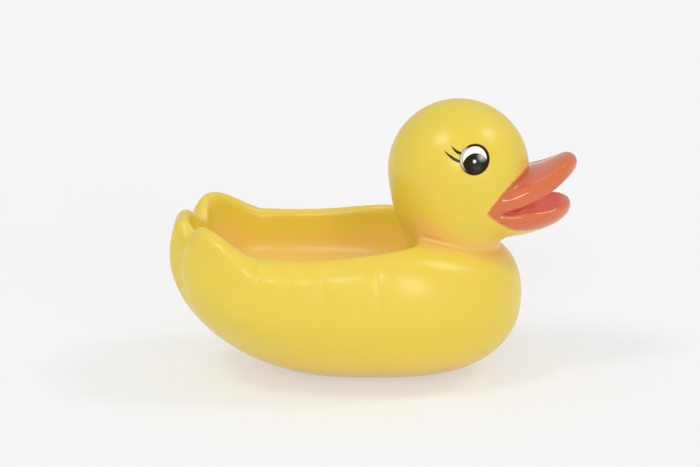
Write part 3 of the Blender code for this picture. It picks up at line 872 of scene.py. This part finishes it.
# %% The vinyl's group
vinyl_group, given, out = new_group(
    "soft_vinyl_and_paint",
    ("Paint", "Hidden", "Mouth"),
    (
        ("Base Color", "NodeSocketColor"),
        ("Emission Color", "NodeSocketColor"),
        ("Coat Weight", "NodeSocketFloat"),
        ("Roughness", "NodeSocketFloat"),
        ("Height", "NodeSocketFloat"),
    ),
)
place = vinyl_group.nodes.new("ShaderNodeTexCoord").outputs["Object"]
cloud = noise(vinyl_group, place, CLOUD_SCALE, 3.0)
grain = noise(vinyl_group, place, GRAIN_SCALE)
patches = maths(vinyl_group, "MULTIPLY_ADD", cloud, CLOUD_IN_COLOUR, -CLOUD_IN_COLOUR / 2)
shade = maths(vinyl_group, "ADD", given["Hidden"], patches)
# Amber, then orange, where the point is hidden: painted shade in the folds, under the chin, low on the hull
# and in the basin.
painted_shade_warm = blend(vinyl_group, soft_step(vinyl_group, shade, *SHADE_TURNS_AMBER), YELLOW, PAINTED_SHADE_AMBER)
deep = blend(vinyl_group, soft_step(vinyl_group, shade, *SHADE_TURNS_ORANGE), painted_shade_warm, PAINTED_SHADE_ORANGE)
dust = maths(vinyl_group, "MULTIPLY_ADD", grain, SPRAY_GRAIN, -SPRAY_GRAIN / 2)
edge = maths(vinyl_group, "ADD", given["Paint"], dust)
painted = soft_step(vinyl_group, edge, -OVERSPRAY, OVERSPRAY)
# The bill turns deeper where it is hidden: painted shade.
lip = blend(vinyl_group, soft_step(vinyl_group, shade, *BILL_SHADE_TURNS), BILL, BILL_PAINTED_SHADE)
coat = blend(vinyl_group, given["Mouth"], lip, MOUTH)
colour = blend(vinyl_group, painted, deep, coat)
vinyl_group.links.new(colour, out["Base Color"])

# %% The vinyl's painted glow, gloss and grain
# The emission is painted light: it lifts the hidden vinyl and the whole mouth.
in_folds = soft_step(vinyl_group, given["Hidden"], *PAINTED_GLOW_STARTS)
painted_glow_in_folds = maths(vinyl_group, "MULTIPLY", in_folds, PAINTED_GLOW_VINYL)
painted_glow_in_mouth = maths(vinyl_group, "MULTIPLY", given["Mouth"], PAINTED_GLOW_MOUTH)
vinyl_glow = blend(vinyl_group, painted_glow_in_folds, BLACK, PAINTED_GLOW)
paint_glow = blend(vinyl_group, painted_glow_in_mouth, BLACK, coat)
vinyl_group.links.new(blend(vinyl_group, painted, vinyl_glow, paint_glow), out["Emission Color"])
outer = maths(vinyl_group, "SUBTRACT", painted, given["Mouth"])
vinyl_group.links.new(maths(vinyl_group, "MULTIPLY", outer, GLOSS_OVER_PAINT), out["Coat Weight"])
satin = maths(vinyl_group, "MULTIPLY_ADD", cloud, CLOUD_IN_GLOSS, VINYL_ROUGH - CLOUD_IN_GLOSS / 2)
rough = maths(vinyl_group, "MULTIPLY_ADD", painted, PAINT_ROUGH - VINYL_ROUGH, satin)
rough = maths(vinyl_group, "MULTIPLY_ADD", given["Mouth"], MOUTH_ROUGH - PAINT_ROUGH, rough)
vinyl_group.links.new(rough, out["Roughness"])
vinyl_group.links.new(grain, out["Height"])
print("vinyl's group:", len(vinyl_group.nodes), "nodes")

# %% The vinyl's material
vinyl, vinyl_node, vinyl_shader = finish_with(
    "soft_vinyl_yellow",
    vinyl_group,
    {"Paint": PAINT, "Hidden": HIDDEN, "Mouth": INNER_MOUTH},
    ("Base Color", "Emission Color", "Coat Weight", "Roughness"),
    Emission_Strength=1.0,
    Coat_Roughness=0.07,
    Subsurface_Weight=0.22,
    Subsurface_Radius=(1.0, 0.42, 0.12),
    Subsurface_Scale=0.004,
)
GRAIN_STRENGTH, GRAIN_DEPTH = 0.12, 0.06
bump = vinyl.node_tree.nodes.new("ShaderNodeBump")
bump.inputs["Strength"].default_value = GRAIN_STRENGTH
bump.inputs["Distance"].default_value = GRAIN_DEPTH * MM
vinyl.node_tree.links.new(vinyl_node.outputs["Height"], bump.inputs["Height"])
vinyl.node_tree.links.new(bump.outputs["Normal"], vinyl_shader.inputs["Normal"])
skin.data.materials.append(vinyl)
print("skin's material:", skin.active_material.name)

# %% [markdown]
# ## The printed eyes
#
# Each eye is pad-printed: a soft pad lays a disc of white and black ink on the curved cheek. The print is
# a thin piece of its own here, so that its edges stay sharp. It is a square grid bent into a disc,
# pressed along Y onto the field and lifted by six hundredths of a millimetre. Its UV is the flat picture
# on the pad, and the picture is drawn with circles: a dark ring with a thin red-brown fringe, a white
# ball, a large iris cut off by the lower edge, a painted reflection of a lamp on the iris, and a bright
# dot. At the back of the eye the ring opens into a pale crescent.

# %% The eyes' shape
EYE_X, EYE_Z = 47.7, 113.2
EYE_HALF_WIDE, EYE_HALF_TALL = 7.2, 7.1
PRINT_LIFT, EDGE_LIFT = 0.06, -0.01
EYE_STEPS = 45
FACE_OUTER, FACE_INNER, HALVINGS = -45.0, -8.0, 30


def on_face(x, z, lift):
    """The point of the face at (x, z) on the right side, and its normal.

    The range of y is halved until the zero of the field is found, and the point is lifted along the slope.
    """
    outer, inner = np.full_like(x, FACE_OUTER), np.full_like(x, FACE_INNER)
    for _ in range(HALVINGS):
        middle = (outer + inner) / 2
        outside = shell(x, middle, z) > 0
        outer = np.where(outside, middle, outer)
        inner = np.where(outside, inner, middle)
    found = np.stack([x, (outer + inner) / 2, z], -1).reshape(-1, 3)
    slope = gradient(shell, found)
    normal = slope / np.linalg.norm(slope, axis=1, keepdims=True)
    return found + normal * np.reshape(lift, (-1, 1)), normal


def grid_quads(rows, columns, closed=False):
    """Quads between neighbours in a grid; closed also joins the last column to the first."""
    number = np.arange(rows * columns).reshape(rows, columns)
    if closed:
        number = np.append(number, number[:, :1], axis=1)
    ring = [number[:-1, :-1], number[:-1, 1:], number[1:, 1:], number[1:, :-1]]
    return np.stack(ring, -1).reshape(-1, 4)


def both_sides(points, quads, normals):
    """The right side's arrays, then their mirror image in the middle plane, whose quads turn round."""
    flip = np.array([1, -1, 1])
    return (
        np.concatenate([points, points * flip]),
        np.concatenate([quads, quads[:, ::-1] + len(points)]),
        np.concatenate([normals, normals * flip]),
    )


def facing_out(points, normals, quads):
    """Turns every quad round if the first does not face along its normal."""
    a, b, c = points[quads[0, :3]]
    return quads if np.dot(np.cross(b - a, c - a), normals[quads[0, 0]]) > 0 else quads[:, ::-1]


def disc_grid(steps):
    """A square grid bent into a disc, and which of its points lie on the rim.

    u = a sqrt(1 - b^2/2) and v = b sqrt(1 - a^2/2), so that no rows meet in one point.
    """
    a, b = np.meshgrid(np.linspace(-1, 1, steps), np.linspace(-1, 1, steps))
    on_rim = np.maximum(np.abs(a), np.abs(b)) > 0.999
    return a * np.sqrt(1 - b**2 / 2), b * np.sqrt(1 - a**2 / 2), on_rim


def add_uv(item, uv):
    """Gives each corner the u and v of its point, both in the range from 0 to 1."""
    layer = item.data.uv_layers.new(name="picture")
    corner = np.empty(len(item.data.loops), np.int32)
    item.data.loops.foreach_get("vertex_index", corner)
    layer.data.foreach_set("uv", uv[corner].astype(np.float32).ravel())


u, v, on_rim = disc_grid(EYE_STEPS)
lift = np.where(on_rim, EDGE_LIFT, PRINT_LIFT).ravel()
eye_points, eye_normals = on_face(EYE_X + EYE_HALF_WIDE * u, EYE_Z + EYE_HALF_TALL * v, lift)
eye_quads = facing_out(eye_points, eye_normals, grid_quads(EYE_STEPS, EYE_STEPS))
eyes = mesh_from("eye_prints", *both_sides(eye_points, eye_quads, eye_normals))
picture = np.stack([u.ravel(), v.ravel()], 1) / 2 + 0.5
add_uv(eyes, np.concatenate([picture, picture]))
print("eye's box, mm:", eye_points.min(0).round(1), eye_points.max(0).round(1))

# %% [markdown]
# In the picture's own measure the eye is a disc of radius 1 round (0, 0). Each circle below is given by
# its middle and its radius, and each later one is laid over the ones before it, as inks are.

# %% The eyes' picture
INK, BROWN = srgb(40, 33, 22), srgb(176, 88, 44)
WHITE, PALE = srgb(252, 252, 249), srgb(206, 212, 196)
MIDDLE, FRINGE = (0, 0), (0.935, 0.985)
BALL, IRIS, IRIS_LIMIT = (-0.005, 0.044, 0.785), (0.034, -0.43, 0.845), (0, 0, 0.945)
PAINTED_REFLECTION_AT, PAINTED_REFLECTION_FADES, PAINTED_REFLECTION_SHARE = (0.50, 0.20), (0.46, 0.0), 0.8
CRESCENT_OUTER, CRESCENT_INNER = (0, 0, 0.955), (0.09, 0, 0.91)
CRESCENT_BEHIND, CRESCENT_ABOVE = (-0.38, -0.66), (-0.85, -0.1)
DOT, DOT_SOFT = (-0.02, -0.088, 0.105), 0.03

eye_group, given, out = new_group("printed_eye", (), (("Base Color", "NodeSocketColor"),))
uv = eye_group.nodes.new("ShaderNodeUVMap")
uv.uv_map = "picture"
parts = eye_group.nodes.new("ShaderNodeSeparateXYZ")
eye_group.links.new(uv.outputs["UV"], parts.inputs[0])
across = maths(eye_group, "MULTIPLY_ADD", parts.outputs[0], 2.0, -1.0)
up = maths(eye_group, "MULTIPLY_ADD", parts.outputs[1], 2.0, -1.0)


def away_from(u, v):
    """Distance of the picture's point from (u, v), in radii of the eye."""
    right = maths(eye_group, "POWER", maths(eye_group, "SUBTRACT", across, u), 2.0)
    rise = maths(eye_group, "POWER", maths(eye_group, "SUBTRACT", up, v), 2.0)
    return maths(eye_group, "SQRT", maths(eye_group, "ADD", right, rise))


def circle(u, v, radius, soft=0.02):
    """1 inside the circle, 0 outside, and a narrow soft step between."""
    return soft_step(eye_group, away_from(u, v), radius + soft, radius - soft)


ring = blend(eye_group, soft_step(eye_group, away_from(*MIDDLE), *FRINGE), INK, BROWN)
ball = blend(eye_group, circle(*BALL), ring, WHITE)
# The soft pale patch on the iris is a painted reflection of a lamp.
painted_reflection = maths(eye_group, "MULTIPLY", soft_step(eye_group, away_from(*PAINTED_REFLECTION_AT), *PAINTED_REFLECTION_FADES), PAINTED_REFLECTION_SHARE)
iris_with_painted_reflection = blend(eye_group, painted_reflection, INK, PALE)
iris = maths(eye_group, "MULTIPLY", circle(*IRIS), circle(*IRIS_LIMIT))
with_iris = blend(eye_group, iris, ball, iris_with_painted_reflection)
outside_inner = maths(eye_group, "SUBTRACT", 1.0, circle(*CRESCENT_INNER))
band = maths(eye_group, "MULTIPLY", circle(*CRESCENT_OUTER), outside_inner)
behind = soft_step(eye_group, across, *CRESCENT_BEHIND)
behind = maths(eye_group, "MULTIPLY", behind, soft_step(eye_group, up, *CRESCENT_ABOVE))
crescent = maths(eye_group, "MULTIPLY", band, behind)
with_crescent = blend(eye_group, crescent, with_iris, PALE)
dot = circle(*DOT, DOT_SOFT)
eye_group.links.new(blend(eye_group, dot, with_crescent, WHITE), out["Base Color"])

eye_ink, _, _ = finish_with(
    "eye_print", eye_group, {}, ("Base Color",), Roughness=0.2, Specular_IOR_Level=0.07
)
eyes.data.materials.append(eye_ink)
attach(eyes, "root")
print("eye's group:", len(eye_group.nodes), "nodes")

# %% [markdown]
# ## The lashes
#
# Two strokes of the same dark ink sweep back and up from each eye, thick at the eye and drawn out to a
# point. Each is a grid with one parameter along a curve of the side view and one across it, pressed onto
# the face like the eye. The ink is worn thin in places, where its red-brown shows.

# %% The lashes' shape, as points (x, z) from the eye's middle and the stroke's width at each
LASHES = (
    (((-6.6, 3.0), (-8.5, 3.8), (-9.7, 4.8), (-11.0, 6.0)), (1.35, 1.35, 1.0, 0.25)),
    (((-7.0, -0.6), (-9.1, 0.2), (-11.1, 1.4), (-12.8, 2.6), (-14.3, 3.9)), (1.2, 1.45, 1.3, 0.85, 0.2)),
)
LASH_STEPS, LASH_ACROSS = 28, 5


def lash(points, widths):
    """A grid on the face along a curve: its point plus half the width along its normal, times -1 to 1."""
    curve = smooth_curve(points, LASH_STEPS)
    width = smooth_curve([(i, w) for i, w in enumerate(widths)], LASH_STEPS)[:, 1]
    along = np.gradient(curve, axis=0)
    along = along / np.linalg.norm(along, axis=1, keepdims=True)
    aside = np.stack([-along[:, 1], along[:, 0]], 1)
    share = np.linspace(-1, 1, LASH_ACROSS)
    place = curve[:, None, :] + aside[:, None, :] * (share[None, :, None] * width[:, None, None] / 2)
    lift = np.where(np.abs(share) < 0.99, PRINT_LIFT, EDGE_LIFT) * np.ones((LASH_STEPS, 1))
    found, normal = on_face(EYE_X + place[..., 0], EYE_Z + place[..., 1], lift.ravel())
    return found, normal, facing_out(found, normal, grid_quads(LASH_STEPS, LASH_ACROSS))


strokes = [lash(*each) for each in LASHES]
starts = np.cumsum([0] + [len(found) for found, _, _ in strokes])
lashes = mesh_from("lash_prints", *both_sides(
    np.concatenate([found for found, _, _ in strokes]),
    np.concatenate([quads + start for (_, _, quads), start in zip(strokes, starts)]),
    np.concatenate([normal for _, normal, _ in strokes]),
))
print("lashes:", len(strokes), "strokes on each side,", len(lashes.data.polygons), "quads")

# %% The lashes' ink
WEAR_SCALE, WEAR_FROM, WEAR_SHARE = 700.0, (0.55, 0.85), 0.5

ink_group, given, out = new_group("ink_stroke", (), (("Base Color", "NodeSocketColor"),))
place = ink_group.nodes.new("ShaderNodeTexCoord").outputs["Object"]
worn = soft_step(ink_group, noise(ink_group, place, WEAR_SCALE), *WEAR_FROM)
worn = maths(ink_group, "MULTIPLY", worn, WEAR_SHARE)
ink_group.links.new(blend(ink_group, worn, INK, BROWN), out["Base Color"])
lash_ink, _, _ = finish_with(
    "lash_print", ink_group, {}, ("Base Color",), Roughness=0.3, Specular_IOR_Level=0.2
)
lashes.data.materials.append(lash_ink)
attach(lashes, "root")
print("ink's group:", len(ink_group.nodes), "nodes")

# %% [markdown]
# ## The squeaker plug
#
# The plug is one turned shape: a profile of radius and height, carried round its axis. The real one is
# injection-moulded in a hard pale plastic, so its edges are slightly rounded, its face has a ring groove
# from the mould and the blow hole in the middle is countersunk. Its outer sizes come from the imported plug.

# %% The plug's shape
PLUG_END = plug_high[2]
BARREL_RADIUS, BLOW_RADIUS, CHAMBER_RADIUS = 5.0, 1.1, 3.0
GROOVE_IN, GROOVE_OUT, GROOVE_CUT = 4.4, 5.2, 0.25
PLUG_EDGE = 0.2
PLUG_SPOKES, SHARP_ANGLE = 72, 50

back = PLUG_FACE + FLANGE_THICK
profile = np.array([
    (BLOW_RADIUS, PLUG_FACE + 2 * PLUG_EDGE),
    (BLOW_RADIUS + PLUG_EDGE, PLUG_FACE + PLUG_EDGE),
    (BLOW_RADIUS + 3 * PLUG_EDGE, PLUG_FACE),
    (GROOVE_IN - PLUG_EDGE, PLUG_FACE),
    (GROOVE_IN, PLUG_FACE + PLUG_EDGE / 2),
    (GROOVE_IN + PLUG_EDGE, PLUG_FACE + GROOVE_CUT),
    (GROOVE_OUT - PLUG_EDGE, PLUG_FACE + GROOVE_CUT),
    (GROOVE_OUT, PLUG_FACE + PLUG_EDGE / 2),
    (GROOVE_OUT + PLUG_EDGE, PLUG_FACE),
    (PLUG_RADIUS - 1.5 * PLUG_EDGE, PLUG_FACE),
    (PLUG_RADIUS - PLUG_EDGE / 2, PLUG_FACE + PLUG_EDGE / 2),
    (PLUG_RADIUS, PLUG_FACE + 1.5 * PLUG_EDGE),
    (PLUG_RADIUS, back - PLUG_EDGE),
    (PLUG_RADIUS - PLUG_EDGE, back),
    (BARREL_RADIUS + PLUG_EDGE, back),
    (BARREL_RADIUS, back + PLUG_EDGE),
    (BARREL_RADIUS, PLUG_END - PLUG_EDGE),
    (BARREL_RADIUS - PLUG_EDGE, PLUG_END),
    (CHAMBER_RADIUS + PLUG_EDGE, PLUG_END),
    (CHAMBER_RADIUS, PLUG_END - PLUG_EDGE),
    (CHAMBER_RADIUS, back + PLUG_EDGE),
    (CHAMBER_RADIUS - PLUG_EDGE, back),
    (BLOW_RADIUS, back),
])
radius, height = profile[:, :1], profile[:, 1:]
turn = np.linspace(0, 2 * np.pi, PLUG_SPOKES, endpoint=False)[None, :]
around = np.broadcast_arrays(PLUG_AT + radius * np.cos(turn), radius * np.sin(turn), height)
plug_points = np.stack(around, -1).reshape(-1, 3)
plug_quads = grid_quads(len(profile), PLUG_SPOKES, closed=True)
last = (len(profile) - 1) * PLUG_SPOKES
spoke = np.arange(PLUG_SPOKES)
following = (spoke + 1) % PLUG_SPOKES
bore = np.stack([last + spoke, last + following, following, spoke], 1)
plug = mesh_from("squeaker_plug", plug_points, np.concatenate([plug_quads, bore]))
plug.data.set_sharp_from_angle(angle=math.radians(SHARP_ANGLE))
print("plug:", len(profile), "by", PLUG_SPOKES, "points")

# %% The plug's plastic
CLOUDY_SCALE, PLASTIC_ROUGH, CLOUDY_ROUGH = 160.0, 0.3, 0.2
PLASTIC, PLASTIC_DULL = srgb(236, 234, 224), srgb(222, 219, 206)

plastic_group, given, out = new_group(
    "moulded_plastic", (), (("Base Color", "NodeSocketColor"), ("Roughness", "NodeSocketFloat"))
)
place = plastic_group.nodes.new("ShaderNodeTexCoord").outputs["Object"]
cloudy = noise(plastic_group, place, CLOUDY_SCALE, 3.0)
plastic_group.links.new(blend(plastic_group, cloudy, PLASTIC, PLASTIC_DULL), out["Base Color"])
rough = maths(plastic_group, "MULTIPLY_ADD", cloudy, CLOUDY_ROUGH, PLASTIC_ROUGH)
plastic_group.links.new(rough, out["Roughness"])
plastic, _, _ = finish_with("plug_plastic", plastic_group, {}, ("Base Color", "Roughness"))
plug.data.materials.append(plastic)
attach(plug, "root")
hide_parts("squeaker")
print("plastic's group:", len(plastic_group.nodes), "nodes")

# %% [markdown]
# ## Floor and light
#
# The backdrop is one pale sheet. Four large soft lamps stand far away: one above on the left and one above
# on the right, which light the head and the brim, and two low on the camera's side, whose highlights lie
# on the shoulder, the lips and the feathers. An even white sky fills the rest, so the colours come out
# as they are written.
#
# Half of what the camera and the reflections see of the sheet is an even glow, and half is paper under
# this light. The sheet is then as pale as the photograph's ground, and the duck's shadow stays on it.

# %% The sheet
FLOOR_SIZE = 12.0
FLOOR_GREY, FLOOR_SEEN, GLOW_SHARE = 0.95, 0.94, 0.5

bpy.ops.mesh.primitive_plane_add(size=FLOOR_SIZE)
floor = bpy.context.object
floor.name = "floor"
paper = bpy.data.materials.new("backdrop_paper")
paper.use_nodes = True
sheet = paper.node_tree
paper_shader = sheet.nodes["Principled BSDF"]
paper_shader.inputs["Base Color"].default_value = (FLOOR_GREY, FLOOR_GREY, FLOOR_GREY, 1)
paper_shader.inputs["Roughness"].default_value = 1.0
paper_shader.inputs["Specular IOR Level"].default_value = 0.0
glow_shader = sheet.nodes.new("ShaderNodeEmission")
glow_shader.inputs["Color"].default_value = (FLOOR_SEEN, FLOOR_SEEN, FLOOR_SEEN, 1)
rays = sheet.nodes.new("ShaderNodeLightPath").outputs
seen = maths(sheet, "MAXIMUM", rays["Is Camera Ray"], rays["Is Glossy Ray"])
seen = maths(sheet, "MAXIMUM", seen, rays["Is Transmission Ray"])
mixed = sheet.nodes.new("ShaderNodeMixShader")
sheet.links.new(maths(sheet, "MULTIPLY", seen, GLOW_SHARE), mixed.inputs[0])
sheet.links.new(paper_shader.outputs[0], mixed.inputs[1])
sheet.links.new(glow_shader.outputs[0], mixed.inputs[2])
sheet.links.new(mixed.outputs[0], sheet.nodes["Material Output"].inputs["Surface"])
floor.data.materials.append(paper)
print("sheet, m wide:", FLOOR_SIZE)

# %% The lamps and the sky
LAMPS = (  # name, direction, strength, and width in degrees
    ("key", (-0.42, -0.34, 0.84), 0.60, 15.0),
    ("side", (0.63, 0.01, 0.76), 0.42, 13.0),
    ("front", (0.48, -0.84, 0.26), 0.40, 14.0),
    ("near", (-0.10, -0.90, 0.42), 0.42, 13.0),
)
SKY = 0.60


def add_lamp(name, towards, strength, spread):
    """A lamp far away in the given direction, that looks as wide as the spread in degrees."""
    light = bpy.data.lights.new(name, "SUN")
    light.energy = strength
    light.angle = math.radians(spread)
    lamp = bpy.data.objects.new(name, light)
    lamp.rotation_euler = Vector(towards).to_track_quat("Z", "Y").to_euler()
    bpy.context.scene.collection.objects.link(lamp)


for name, towards, strength, spread in LAMPS:
    add_lamp(name, towards, strength, spread)
world = bpy.data.worlds.new("studio")
bpy.context.scene.world = world
world.use_nodes = True
world.node_tree.nodes["Background"].inputs[0].default_value = (1, 1, 1, 1)
world.node_tree.nodes["Background"].inputs[1].default_value = SKY
bpy.context.scene.view_settings.view_transform = "Standard"
print("lamps:", len(LAMPS), "and a sky of strength", SKY)
